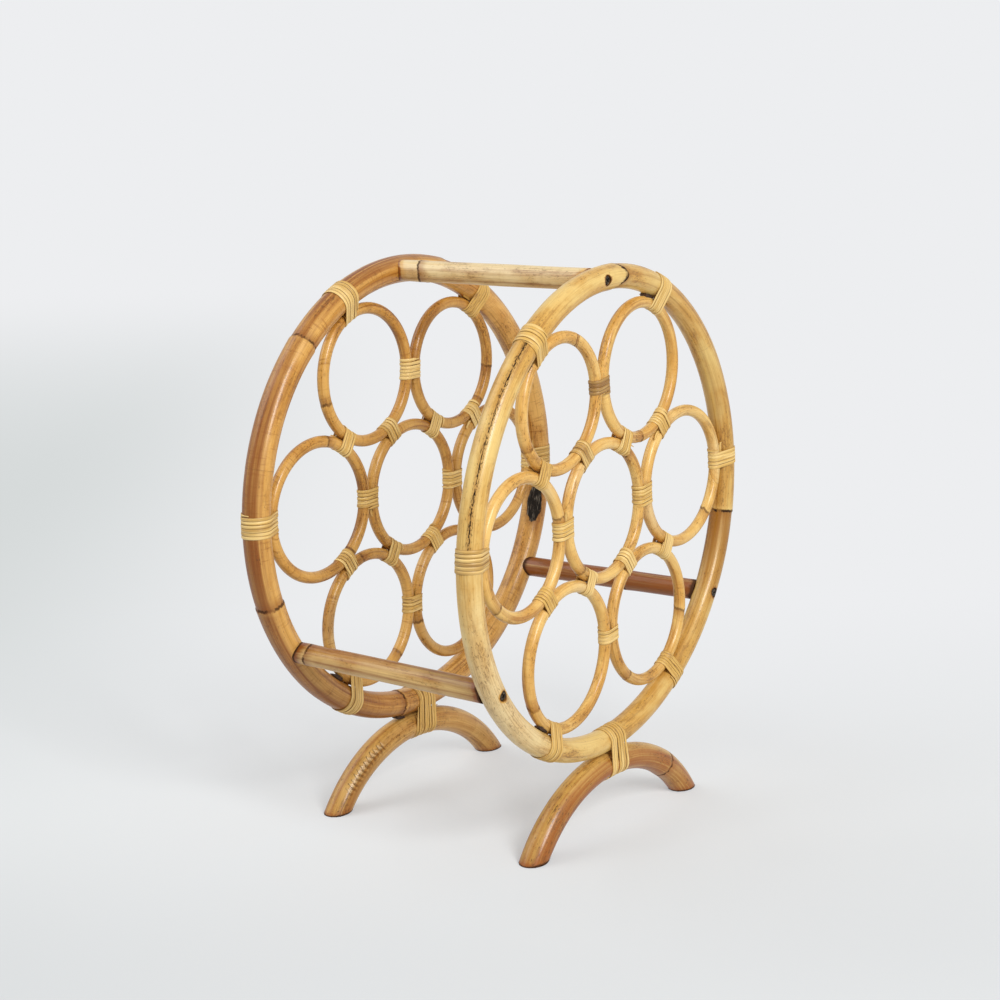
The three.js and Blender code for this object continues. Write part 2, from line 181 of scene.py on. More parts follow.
# %% Where the rings lie
ring_bends, fitting_rounds = 24, 6
ring_corners = (np.arange(ring_bends) + 0.5) * tau / ring_bends
corner_reach = ring_outer_radius / cos(pi / ring_bends)
far_end = np.linspace(-pi / 6, pi / 6, 201)
for side in sides:
    side.rings = []
    for i, place in enumerate(ring_places):
        angle, longer = side.turn + i * pi / 3, 0.0
        for _ in range(fitting_rounds):
            ring = Ring(side, place, angle, longer, ring_step + longer / 2)
            longer += ring.nearest_to_hoop(ring_corners, corner_reach)[0] - touch_gap
        ring = Ring(side, place, angle, longer, ring_step + longer / 2)
        ring.hoop_angle = ring.nearest_to_hoop(far_end, ring_outer_radius)[1]
        side.rings.append(ring)
    side.rings.append(Ring(side, "centre", side.turn))
    for ring in side.rings:
        low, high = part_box(f"ring_{side.name}_{ring.place}")
        solid_centre = complex(low[0] + high[0], low[2] + high[2] - 2 * hoop_height) / 2
        off = abs(solid_centre - ring.centre)
        print(side.name, ring.place, f"pressed {ring.longer / mm:.1f} mm, {off / mm:.2f} mm from the solid")

# %% [markdown]
# ## The finishes
# Shader maths is easier to read as sums than as boxes and wires. A small class wraps a socket, and each
# sum or product on it adds the Math node that does the sum. Everything else comes from one method that
# adds a node.

# %% Sums on a socket


class Shade:
    """A socket of a finish, with Python's own sums and products."""

    def __init__(self, finish, socket):
        self.finish, self.socket = finish, socket

    def maths(self, operation, *sockets):
        return self.finish.add("ShaderNodeMath", {"operation": operation}, dict(enumerate(sockets)))

    def __add__(self, other):
        return self.maths("ADD", self, other)

    def __sub__(self, other):
        return self.maths("SUBTRACT", self, other)

    def __mul__(self, other):
        return self.maths("MULTIPLY", self, other)

    def __truediv__(self, other):
        return self.maths("DIVIDE", self, other)

    def __rsub__(self, other):
        return self.maths("SUBTRACT", other, self)

    def __abs__(self):
        return self.maths("ABSOLUTE", self)

    def whole(self):
        return self.maths("FLOOR", self)

    def larger(self, other):
        return self.maths("MAXIMUM", self, other)

    __radd__ = __add__
    __rmul__ = __mul__


def paint(code):
    """A colour as it looks on a screen, such as 'd9a85e', in the light values that shaders use."""
    levels = [int(code[i:i + 2], 16) / 255 for i in (0, 2, 4)]
    return (*[((level + 0.055) / 1.055) ** 2.4 if level > 0.04 else level / 12.92 for level in levels], 1.0)


print("brown cane is", [round(level, 3) for level in paint("8a5226")])

# %% [markdown]
# A finish starts with one colour, and more colours are laid over it, each as thick as a pattern says.
# The patterns are noises, stretched so that they run long along the cane. A noise is a smooth random
# value from 0 to 1, and a smooth rise between two values of it makes a clear edge out of it.

# %% A finish


class Finish:
    """A material, or the world round the rack, that is mixed step by step."""

    def __init__(self, name, world=None):
        self.material = world or bpy.data.materials.new(name)
        self.material.use_nodes = True
        self.tree = self.material.node_tree
        self.tree.nodes.clear()

    def add(self, kind, settings=None, sockets=None, out=0):
        """Adds a node, sets it, fills its sockets, and gives its output as a Shade."""
        node = self.tree.nodes.new(kind)
        for name, setting in (settings or {}).items():
            setattr(node, name, setting)
        for name, value in (sockets or {}).items():
            if isinstance(value, Shade):
                self.tree.links.new(value.socket, node.inputs[name])
            else:
                node.inputs[name].default_value = paint(value) if isinstance(value, str) else value
        return Shade(self, node.outputs[out])

    def vector(self, name):
        """A vector that the points of a piece carry."""
        return self.add("ShaderNodeAttribute", {"attribute_name": name}, out="Vector")

    def number(self, name):
        """A number that the points of a piece carry."""
        return self.add("ShaderNodeAttribute", {"attribute_name": name}, out="Fac")

    def place(self):
        """The place on the piece."""
        return self.add("ShaderNodeTexCoord", out="Object")

    def vector_maths(self, operation, *vectors, out=0):
        return self.add("ShaderNodeVectorMath", {"operation": operation}, dict(enumerate(vectors)), out)

    def split(self, vector):
        """The three numbers of a vector."""
        parts = self.add("ShaderNodeSeparateXYZ", sockets={0: vector})
        return [Shade(self, output) for output in parts.socket.node.outputs]

    def noise(self, vector, scales, detail=3.0, roughness=0.55, distortion=0.0):
        """Smooth random shades from 0 to 1, with each number of the vector scaled by its own scale."""
        settings = {"Vector": self.vector_maths("MULTIPLY", vector, scales), "Scale": 1.0,
                    "Detail": detail, "Roughness": roughness, "Distortion": distortion}
        return self.add("ShaderNodeTexNoise", sockets=settings)

    def rise(self, value, low, high):
        """0 below low, 1 above high and a smooth rise between. With low above high it falls instead."""
        falling = low > high
        ends = {"Value": value, "From Min": min(low, high), "From Max": max(low, high),
                "To Min": float(falling), "To Max": float(not falling)}
        return self.add("ShaderNodeMapRange", {"interpolation_type": "SMOOTHSTEP"}, ends)

    def mix(self, factor, colour, other):
        """One colour turning into another."""
        return self.add("ShaderNodeMix", {"data_type": "RGBA"}, {0: factor, 6: colour, 7: other}, out=2)

    def over(self, factor, colour):
        """Lays a colour over the finish's own, as thick as the factor says."""
        self.colour = self.mix(factor, self.colour, colour)

    def close(self, roughness, height, depth, **others):
        """Ends with the shader itself and a bump where there is a height, and gives the material."""
        bump = self.add("ShaderNodeBump", sockets={"Height": height, "Distance": depth, "Strength": 1.0})
        sockets = {"Base Color": self.colour, "Roughness": roughness, "Normal": bump}
        for name, value in others.items():
            sockets[name.replace("_", " ").title().replace("Ior", "IOR")] = value
        return self.end(self.add("ShaderNodeBsdfPrincipled", sockets=sockets))

    def end(self, surface, kind="ShaderNodeOutputMaterial"):
        """Leads a shader to the output, and gives the material."""
        output = self.tree.nodes.new(kind)
        self.tree.links.new(surface.socket, output.inputs["Surface"])
        return self.material


# %% [markdown]
# Cane has a hard, glossy skin. Its fibres run the whole length, so its streaks are long and thin, and
# they follow every bend. Each cane therefore carries its own straightened coordinates: the distance
# along it, and the place in its round section. It also carries the distance to the nearest node, the
# ring that a leaf left, and how brown it is there.

# %% The nodes of a cane


def draw_nodes(finish, cane, ragged, ink, pale, brown):
    """Draws the dark line of each node, with a brown shade before it and a pale lip after it."""
    past = finish.number("node_distance") + ragged * (4.8 * mm)
    shade = finish.rise(past, -10 * mm, -1 * mm) * finish.rise(past, 1.2 * mm, 0.0)
    lip = finish.rise(past, 0.8 * mm, 1.8 * mm) * finish.rise(past, 5 * mm, 2 * mm)
    inked = finish.rise(finish.noise(cane, (30, 210, 210), 2), 0.36, 0.56) * 0.7 + 0.3
    line = finish.rise(abs(past), 1.5 * mm, 0.5 * mm) * inked * ink
    finish.over(shade * (0.15 + 0.5 * ink), brown)
    finish.over(lip * (0.22 * ink), pale)
    finish.over(line, "30190b")
    return line


# %% The finish of cane


def cane_finish(name, pale, honey, brown, specks, streaks, ridges, ink, mark=None):
    """Cane in three colours, with the strength of its specks, streaks, ridges and node lines."""
    finish = Finish(name)
    cane, browning = finish.vector("cane"), finish.number("browning")
    streak = finish.noise(cane, (5, 330, 330), 4, 0.6)
    thin_streak = finish.noise(cane, (9, 800, 800), 3, 0.6)
    fibre = finish.noise(cane, (18, 1700, 1700), 3, 0.6)
    cloud = finish.noise(cane, (26, 75, 75), 4, 0.6)
    wash = finish.noise(cane, (7, 30, 30), 2)
    speck = finish.noise(cane, (400, 1150, 1150), 2)
    blot = finish.noise(cane, (75, 260, 260), 4, 0.65)
    ridge = finish.noise(cane, (560, 70, 70), 2, distortion=0.5)
    ragged = finish.noise(cane, (60, 420, 420), 4, 0.65) - 0.5
    patchy = cloud - 0.5

    finish.colour = finish.mix(finish.rise(cloud * 0.6 + wash * 0.4, 0.40, 0.60), pale, honey)
    finish.over(finish.rise(browning + (streak - 0.5) + (wash - 0.5) * 0.5, 0.12, 0.98), brown)
    # Below nothing the browning turns the cane pale cream: bleaching on the rings, and partly a painted
    # highlight on the front hoop's lower left and on the top strut's top.
    finish.over(finish.rise(browning + patchy * 0.4, 0.0, -0.42) * 0.75, "e6d3a6")
    finish.over(finish.rise(streak + patchy * 0.25, 0.54, 0.70) * streaks, brown)
    finish.over(finish.rise(streak, 0.46, 0.32) * (streaks * 0.7), pale)
    finish.over(finish.rise(thin_streak + patchy * 0.3, 0.58, 0.74) * (streaks * 0.9), "6b4019")
    finish.over(finish.rise(fibre, 0.50, 0.72) * 0.36, brown)
    finish.over(finish.rise(ridge, 0.54, 0.72) * (ridges * 0.7), brown)
    stain = finish.rise(blot + patchy * 0.6, 0.56, 0.72) * specks
    finish.over(stain * 0.6, "74491c")
    finish.over(finish.rise(speck + patchy * 0.6, 0.63, 0.73) * specks, "55330f")
    line = draw_nodes(finish, cane, ragged, ink, pale, brown)
    # Where browning runs past one the cane turns almost black: at strut ends and foot tips, and round the
    # screw holes as dirt and painted shade.
    blackening_and_hole_shade = finish.rise(browning + ragged * 0.8, 1.05, 1.7) * 0.9
    finish.over(blackening_and_hole_shade, "38200f")

    dull = blackening_and_hole_shade.larger(line)
    height = streak * 0.40 + fibre * 0.20 + ridge * ridges + cloud * 0.5
    height = height - line * 0.8 - speck * 0.10 - stain * 0.15
    if mark:
        height, dull = mark(finish, cane, height, dull)
    roughness = cloud * 0.16 + fibre * 0.10 + dull * 0.4 + 0.34
    return finish.close(roughness, height, 0.5 * mm, coat_weight=(1 - dull) * 0.42,
                        coat_roughness=0.21, specular_ior_level=0.20)


# %% [markdown]
# Three canes carry a mark that the photo shows: a long split, a scorched patch and a row of creases.
# Each is drawn from a small map that the cane carries, with the distance along it from the middle of
# the mark and the distance round it.

# %% The split


def crack_mark(finish, cane, height, dull):
    """A fine split along the front hoop, dark in dashes."""
    along, around, _ = finish.split(finish.vector("mark"))
    wander = finish.noise(cane, (45, 0, 0), 4) - 0.5
    beside = abs(around + wander * (2.4 * mm))
    inside = finish.rise(abs(along), 80 * mm, 72 * mm)
    dashes = finish.rise(finish.noise(cane, (240, 900, 900)), 0.44, 0.54)
    width = finish.rise(finish.noise(cane, (130, 0, 0)), 0.35, 0.7) * (abs(along) * 0.009 + 0.2 * mm)
    split = finish.rise(beside - width, 0.4 * mm, 0.0) * dashes * inside
    crumbs = finish.rise(finish.noise(cane, (480, 1500, 1500), 2), 0.56, 0.64)
    crumbs *= finish.rise(beside, 2.8 * mm, 0.8 * mm)
    split = split.larger(crumbs * inside * 0.75)
    finish.over(finish.rise(beside, 3.6 * mm, 0.4 * mm) * inside * 0.55, "a8742f")
    finish.over(split, "1d1008")
    return height - split * 1.2, dull.larger(split)


# %% The scorched patch


def scorch_mark(finish, cane, height, dull):
    """The black mark that the heat of bending left on the back hoop, wider at one end."""
    mark = finish.vector("mark")
    ragged = finish.noise(cane, (240, 520, 520), 4) - 0.5
    far = finish.vector_maths("LENGTH", finish.vector_maths("MULTIPLY", mark, (68, 150, 0)), out="Value")
    reach = far + finish.split(mark)[0] * 20
    burnt = finish.rise(reach + ragged * 0.55, 1.04, 0.90)
    singed = finish.rise(reach + ragged * 0.9, 1.6, 0.95) * 0.55
    # The grey streaks in the black are partly ash and partly painted highlight.
    ash_and_highlight = finish.rise(finish.noise(cane, (130, 1000, 1000), 4, 0.7), 0.50, 0.66)
    finish.over(singed, "7a4a22")
    finish.over(burnt, finish.mix(ash_and_highlight * 0.7, "1c1712", "857b6d"))
    return height - burnt * 0.3, dull.larger(burnt)


# %% The creases
tooth_pitch = 4 * mm


def buckle_mark(finish, cane, height, dull):
    """The row of saw-toothed creases where a leg of the back foot was bent over heat, with painted highlights
    on the teeth and painted shadow in the creases.
    """
    along, around, _ = finish.split(finish.vector("mark"))
    wander = finish.noise(cane, (90, 160, 160)) - 0.5
    turn = (along + wander * (5 * mm)) / tooth_pitch
    share = turn - turn.whole()
    window = finish.rise(abs(along + wander * (20 * mm)), 26 * mm, 20 * mm)
    peak = finish.rise(share, 0.0, 0.35) * finish.rise(share, 1.0, 0.35) * (wander * (6 * mm) + 4.6 * mm)
    tooth_and_highlight = finish.rise(peak - around, 0.0, 0.5 * mm) * finish.rise(around, -0.8 * mm, 0.2 * mm) * window
    shadow = finish.rise(abs(around - peak), 0.7 * mm, 0.1 * mm) * finish.rise(share, 0.25, 0.45)
    wedge_shadow = finish.rise(abs(share - 0.75), 0.30, 0.10) * finish.rise(around, 1.2 * mm, 0.2 * mm)
    wedge_shadow *= finish.rise(around, -5.8 * mm, -1.4 * mm)
    crease_and_shadow = shadow.larger(wedge_shadow * 0.9) * window
    # The pale teeth are painted highlight and the dark creases painted shadow, over a bump of the same shape.
    finish.over(tooth_and_highlight * 0.5, "eecd98")
    finish.over(crease_and_shadow * 0.65, "6a3f16")
    return height + tooth_and_highlight * 1.2 - crease_and_shadow * 1.2, dull.larger(crease_and_shadow * 0.6)


# %% The canes' colours
# Pale, honey and brown, and how strong the specks, streaks, ridges and node lines are
cane_looks = {
    "hoop_cane_front": ("dfbe74", "cb9b4a", "935f1a", 0.48, 0.38, 0.15, 1.0, crack_mark),
    "hoop_cane_back": ("dcaa5c", "c0873a", "824509", 0.60, 0.66, 0.55, 0.8, scorch_mark),
    "ring_cane_front": ("e5bd70", "cf9a48", "985c18", 0.60, 0.48, 0.30, 0.6),
    "ring_cane_back": ("d3a254", "bd8536", "884e0e", 0.72, 0.54, 0.70, 0.6),
    "strut_cane": ("e3bf7c", "c6964c", "894c17", 0.42, 0.50, 0.10, 0.8),
    "foot_front": ("cfa75c", "b68a42", "97561a", 0.75, 0.55, 0.30, 0.8),
    "foot_back": ("dcb066", "c5964a", "9c6022", 0.75, 0.60, 0.40, 0.7, buckle_mark),
}
finishes = {name: cane_finish(name, *look) for name, look in cane_looks.items()}
print("cane finishes:", ", ".join(finishes))

# %% [markdown]
# The strips that bind the canes are peel, the skin split off a cane and shaved flat. Peel is paler than
# whole cane and has fine straight grain. Its coordinates run along the strip and across it, and its cut
# edges are a little darker, partly their own colour and partly painted shade of the gaps between turns,
# so each turn of a winding stays readable.

# %% The finish of peel
peel_width = 2.5 * mm
peel_thickness = 0.6 * mm


def peel_finish(name):
    finish = Finish(name)
    strip = finish.vector("strip")
    grain = finish.noise(strip, (26, 2600, 600), 3, 0.6)
    band = finish.noise(strip, (30, 500, 300), 2)
    batch = finish.noise(finish.place(), (19, 19, 19), 1)
    knots = finish.noise(strip, (120, 900, 300), 2)
    turn_tone = finish.noise(strip, (14, 0, 0), 1)
    edge_and_gap_shade = finish.rise(abs(finish.split(strip)[1]), peel_width * 0.38, peel_width * 0.50)
    finish.colour = finish.mix(finish.rise(band * 0.7 + batch * 0.5, 0.48, 0.70), "e8c67e", "d1a653")
    finish.over(finish.rise(finish.number("tone") + (band + turn_tone - 1.0) * 0.9, 0.15, 1.0), "88602e")
    finish.over(finish.rise(grain, 0.48, 0.70) * 0.45, "a8783a")
    finish.over(finish.rise(knots + (batch - 0.5) * 0.4, 0.64, 0.76) * 0.7, "7d4f24")
    # The cut edges are darker, partly their own colour and partly painted shade of the gaps between turns.
    finish.over(edge_and_gap_shade * 0.6, "85592a")
    height = grain * 0.5 + band * 0.3
    return finish.close(band * 0.14 + 0.46, height, 0.2 * mm, coat_weight=0.1, coat_roughness=0.3)


finishes["peel"] = peel_finish("peel")
print("a strip of peel is", peel_width / mm, "mm wide and", peel_thickness / mm, "mm thick")

# %% [markdown]
# The screws are plain steel that has darkened, with a little rust. The chips that pack the joints are
# offcuts of dark cane, and their near-black colour also carries painted shade of the wedges that they sit in.

# %% Steel and packing


def steel_finish(name):
    finish = Finish(name)
    worn = finish.noise(finish.place(), (700, 700, 700), 4)
    rust = finish.noise(finish.place(), (1800, 1800, 1800), 2)
    finish.colour = finish.mix(finish.rise(worn, 0.4, 0.7), "211a14", "6d5d48")
    finish.over(finish.rise(rust, 0.6, 0.75) * 0.5, "5a3720")
    return finish.close(worn * 0.3 + 0.32, rust * 0.4, 0.1 * mm, metallic=0.85)


def packing_and_shade_finish(name):
    finish = Finish(name)
    grain = finish.noise(finish.place(), (900, 300, 900))
    # Near-black: partly the chips' own dark cane and partly painted shade of the wedges that they sit in.
    finish.colour = finish.mix(finish.rise(grain, 0.35, 0.7), "1d120b", "4f3119")
    return finish.close(grain * 0.2 + 0.62, grain, 0.3 * mm)


finishes["screw_steel"] = steel_finish("screw_steel")
finishes["packing_and_shade"] = packing_and_shade_finish("packing_and_shade")
print(len(finishes), "finishes in all")


# %% [markdown]
# ## Bending a cane
# A cane is bent by spinning its round section about an axis. The hoop is left open by a hair, because
# the real one is a straight pole bent round until its two ends meet in a butt joint. While the spun
# shape is still a perfect arc, the distance along it is just an angle times the radius, so this is the
# moment to note each point's place on the straight cane. Then the points are laid where the cane runs.

# %% Starting and editing a shape


def only(thing):
    """Selects one object and nothing else."""
    bpy.ops.object.select_all(action="DESELECT")
    thing.select_set(True)
    bpy.context.view_layer.objects.active = thing


def start_shape(primitive, name="", **settings):
    """Adds one of Blender's simple shapes, with nothing else selected, and moves its place into its mesh."""
    bpy.ops.object.select_all(action="DESELECT")
    primitive(**settings)
    bpy.ops.object.transform_apply(location=True, rotation=True, scale=True)
    thing = bpy.context.object
    if name:
        thing.name = thing.data.name = name
    return thing


@contextmanager
def editing(thing):
    """Edits one object, with all of it selected at first, and leaves edit mode at the end."""
    only(thing)
    bpy.ops.object.mode_set(mode="EDIT")
    bpy.ops.mesh.select_all(action="SELECT")
    yield
    bpy.ops.object.mode_set(mode="OBJECT")


def pick_faces(thing, test):
    """In edit mode, selects the faces that pass a test, and nothing else."""
    bpy.ops.mesh.select_mode(type="FACE")
    bpy.ops.mesh.select_all(action="DESELECT")
    skin = bmesh.from_edit_mesh(thing.data)
    for face in skin.faces:
        face.select_set(test(face))
    bmesh.update_edit_mesh(thing.data)


def face_outwards():
    """In edit mode, turns all faces to look outwards."""
    bpy.ops.mesh.select_all(action="SELECT")
    bpy.ops.mesh.normals_make_consistent(inside=False)


# %% Spinning a cane and softening its ends


def bent_cane(name, bend, thickness, flats, steps, sweep):
    """A round section at a bend's radius, spun from +X towards +Z, with both ends closed."""
    cane = start_shape(bpy.ops.mesh.primitive_circle_add, name,
                       vertices=flats, radius=thickness / 2, location=(bend, 0, 0))
    with editing(cane):
        bpy.ops.mesh.spin(steps=steps, angle=sweep, center=(0, 0, 0), axis=(0, 1, 0))
        bpy.ops.mesh.select_all(action="SELECT")
        bpy.ops.mesh.fill_holes(sides=0)
    return cane


def is_end(face):
    """A cane's cut end is the only face with many corners."""
    return len(face.verts) > 8


def soften_ends(thing, width):
    """Rounds the rim of each cut end a little, and gives the end a face with an inner ring."""
    with editing(thing):
        pick_faces(thing, is_end)
        bpy.ops.mesh.bevel(offset=width, segments=2)
        pick_faces(thing, is_end)
        bpy.ops.mesh.inset(thickness=3 * width)
        bpy.ops.mesh.inset(thickness=4 * width)
        face_outwards()


# %% Points and what they carry


def read_points(thing):
    points = np.empty(len(thing.data.vertices) * 3)
    thing.data.vertices.foreach_get("co", points)
    return points.reshape(-1, 3)


def write_points(thing, points):
    thing.data.vertices.foreach_set("co", np.asarray(points, dtype=np.float64).ravel())
    thing.data.update()


def in_space(spots, y):
    """Points from their complex places in a hoop's plane and how far back they are."""
    return np.column_stack((spots.real, y, spots.imag + hoop_height))


def note(thing, **notes):
    """Keeps a number or a vector for each point, for the finish to read."""
    for name, values in notes.items():
        values = np.asarray(values, dtype=np.float32)
        kind, field = ("FLOAT_VECTOR", "vector") if values.ndim == 2 else ("FLOAT", "value")
        thing.data.attributes.new(name, kind, "POINT").data.foreach_set(field, values.ravel())


# %% How a cane changes along its length


def to_nearest(along, marks, most=30 * mm):
    """The signed distance along the cane to the nearest of some marks."""
    if not len(marks):
        return np.full(len(along), most)
    distances = along[:, None] - np.asarray(marks)[None, :]
    nearest = abs(distances).argmin(axis=1)
    return np.clip(distances[np.arange(len(along)), nearest], -most, most)


def wobble(along, seed, share):
    """A slow change along the cane, from three waves of different length."""
    chance = np.random.default_rng(seed)
    waves = [(length, chance.uniform(0, tau)) for length in (0.31, 0.17, 0.083)]
    return share * sum(np.sin(tau * along / length + phase) for length, phase in waves) / 3


# %% Laying a bent cane
slack_angle = 0.001


def lay_cane(thing, side, seed, bend, thickness, sweep, nodes, brown, swell, spot, joint,
             drawn=3.0, mark=None):
    """Notes each point's place on the straight cane, thickens the cane at its nodes and lays it.

    joint says how far along the cut of the two ends leans, at a place in the round section. The lean
    fades out over three thicknesses, or over the given number on the side that it draws longer.
    """
    x, y, z = read_points(thing).T
    turn = (np.arctan2(z, x) + slack_angle) % tau - slack_angle
    out = np.hypot(x, z) - bend
    around = np.arctan2(y, out)
    along, length = turn * bend, sweep * bend
    leans = joint(out / thickness * 2, y / thickness * 2)
    drawn_side = (leans < 0) == (along < length / 2)
    fade_and_shadow_lift = np.where(drawn_side, drawn, 3.0) * thickness
    turn = turn + leans * np.exp(-np.minimum(along, length - along) / fade_and_shadow_lift) / bend
    past = to_nearest(along, nodes)
    lip = np.where(past > 0, np.exp(-past / (0.5 * thickness)), -0.6 * np.exp(past / thickness))
    grown = 1 + swell * lip + wobble(along, seed, 0.012) + 0.008 * np.cos(2 * around + seed)
    note(thing, cane=np.column_stack((along + 3.7 * seed, out, y)), node_distance=past,
         browning=brown(along, around))
    if mark:
        note(thing, mark=mark(along, around))
    write_points(thing, in_space(spot(turn, out * grown), side.y + y * grown))


# %% [markdown]
# ## The screws
# A steel screw runs through each hoop into the end of a strut, so six in all. The head sits slightly sunk
# in the round of the pole. One screw is made as a cylinder whose top is rounded and cut with a cross slot,
# and whose underside is drawn out into the shank. The rest are copies.

# %% One screw
head_radius, head_thickness, head_round = 3.2 * mm, 1.5 * mm, 0.5 * mm
shank_radius, screw_bite, screw_sink, point_length = 1.9 * mm, 20 * mm, 0.6 * mm, 4 * mm
slot_length, slot_width, slot_depth = 3.6 * mm, 0.9 * mm, 0.9 * mm
along_y = (pi / 2, 0, 0)


def cut_away(piece, cutter):
    """Cuts one shape out of another and takes the cutter away."""
    only(piece)
    cut = piece.modifiers.new("cut", "BOOLEAN")
    cut.object = cutter
    cut.solver = "EXACT"
    bpy.ops.object.modifier_apply(modifier=cut.name)
    bpy.data.objects.remove(cutter)


def make_screw(pole):
    """A screw along +Y with the top of its head at the origin."""
    shank = pole - screw_sink + screw_bite - head_thickness
    piece = start_shape(bpy.ops.mesh.primitive_cylinder_add, vertices=48, radius=head_radius,
                        depth=head_thickness, location=(0, head_thickness / 2, 0), rotation=along_y)
    with editing(piece):
        pick_faces(piece, lambda face: face.normal.y > 0.9)
        bpy.ops.mesh.inset(thickness=head_radius - shank_radius)
        for length in (shank - point_length, point_length):
            bpy.ops.mesh.extrude_region_move(TRANSFORM_OT_translate={"value": (0, length, 0)})
        bpy.ops.transform.resize(value=(0.15, 1, 0.15), center_override=(0, 0, 0))
        pick_faces(piece, lambda face: face.normal.y < -0.9)
        bpy.ops.mesh.bevel(offset=head_round, segments=3)
    for wide, high in ((slot_width, slot_length), (slot_length, slot_width)):
        size = (wide, 2 * slot_depth, high)
        cut_away(piece, start_shape(bpy.ops.mesh.primitive_cube_add, size=1, scale=size))
    return piece


# %% All six screws


def add_piece(name, mesh):
    """A new object with a mesh of its own."""
    piece = bpy.data.objects.new(name, mesh)
    bpy.context.scene.collection.objects.link(piece)
    return piece


def dress(thing, finish, slot=None, *nodes):
    """Finishes a piece: smooth faces, its material and the solid that it stands for. The slot is not used."""
    only(thing)
    bpy.ops.object.shade_smooth_by_angle(angle=radians(42))
    thing.data.materials.clear()
    thing.data.materials.append(finishes[finish])
    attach(thing, "root")
    if nodes:
        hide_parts(*nodes)


for side in sides:
    first_screw = make_screw(side.pole)
    for place, angle in strut_angles.items():
        screw = add_piece(f"screw_{side.name}_{place}", first_screw.data.copy())
        x, y, z = read_points(screw).T
        slot_turn = 0.4 + 1.3 * angle
        spots = (x + 1j * z) * cmath.exp(1j * slot_turn) + cmath.rect(side.radius(angle), angle)
        write_points(screw, in_space(spots, side.y - (y - side.pole / 2 + screw_sink) * side.outwards))
        if side.outwards > 0:
            screw.data.flip_normals()
        dress(screw, "screw_steel")
    bpy.data.objects.remove(first_screw)
    print(side.name, "screws are", round((side.pole - screw_sink + screw_bite) / mm, 1), "mm long")

# %% [markdown]
# ## The hoops
# A hoop is one thick pole, bent over heat until its ends meet. The holes for the screws are cut while it
# is still a perfect arc, and then the arc is pressed to the hoop's real shape. The nodes are a hand's
# width or two apart, as on the cane that the hoop was bent from.

# %% The holes for the screws
head_room, room_under_head, shank_room, overlap = 0.5 * mm, 0.3 * mm, 0.3 * mm, 0.1 * mm


def screw_holes(cane, side, start):
    """Cuts the holes of the three screws, a wide one for the head and a narrow one for the shank."""
    head_floor = side.pole / 2 - screw_sink - head_thickness - room_under_head
    for radius, low, high in (
        (head_radius + head_room, head_floor, side.pole),
        (shank_radius + shank_room, -side.pole, head_floor + overlap),
    ):
        cutters = []
        for angle in strut_angles.values():
            spot = cmath.rect(side.hoop_bend, angle - start)
            middle = (spot.real, side.outwards * (low + high) / 2, spot.imag)
            cutters.append(start_shape(bpy.ops.mesh.primitive_cylinder_add, vertices=40, radius=radius,
                                       depth=high - low, location=middle, rotation=along_y))
        for cutter in cutters:
            cutter.select_set(True)
        bpy.ops.object.join()
        cut_away(cane, bpy.context.object)


# %% [markdown]
# No two stretches of cane have one tone. How brown a hoop is at each angle is a sum of soft bells, one
# for each dark or pale stretch that the photo shows; the pale one is partly bleaching and partly a painted
# highlight. Round the screw heads the hoop is darkened, partly by dirt and partly by painted shade in the
# holes.

# %% Where the hoops are brown
front_node, node_shade = -10.7, 500 ** 0.5


def bell(distance, width):
    """1 at no distance, falling smoothly to almost nothing at twice the width."""
    return np.exp(-(distance / width) ** 2)


def wrapped(angle, half=pi):
    """The same angle between minus a half turn and plus a half turn."""
    return (angle + half) % (2 * half) - half


def front_brown(angle, around):
    """The front hoop is brownest just below its right node, and paler at its lower left, partly bleached and
    partly a painted highlight.
    """
    below_node = np.where(angle < front_node, 0.46 * bell(angle - front_node, node_shade), 0.0)
    right_side = 0.26 * bell(angle - 15, 65)
    bleached_and_highlight = 0.42 * bell(wrapped(angle + 145, 180), 34)
    return 0.15 + below_node + right_side - bleached_and_highlight + 0.06 * np.cos(around - 2.2)


def back_brown(angle, around):
    """The back hoop is brown all round, and darkest on its left and along its bottom."""
    left = 0.20 * bell(abs(angle) - 180, 26)
    bottom = 0.28 * bell(angle + 125, 45)
    top = 0.24 * bell(angle - 102, 18)
    return 0.31 + left + bottom + top + 0.22 * np.tanh(4 * np.cos(around - 0.8) + 0.7)


def dirt_and_hole_shade(along, beside):
    """The darkening round a screw head, partly dirt and partly painted shade in its hole, at a place seen
    from the screw.
    """
    return 1.5 * bell(np.hypot(along, beside) - head_radius - head_room, 0.6 * mm)


# %% Both hoops
hoop_flats, hoop_steps, butt_gap, rim_round = 48, 640, 0.9 * mm, 0.35 * mm
hoop_joint = {"front": radians(87.4), "back": radians(76)}
hoop_nodes = {"front": (front_node,), "back": (-162.8, -99.6, 132.3)}
# The angle of the mark in the hoop, its angle round the pole, and how much that turns along the mark
hoop_mark = {"front": (151, -30, 2), "back": (-14.1, -146, 0)}
mark_reach = 80 * mm


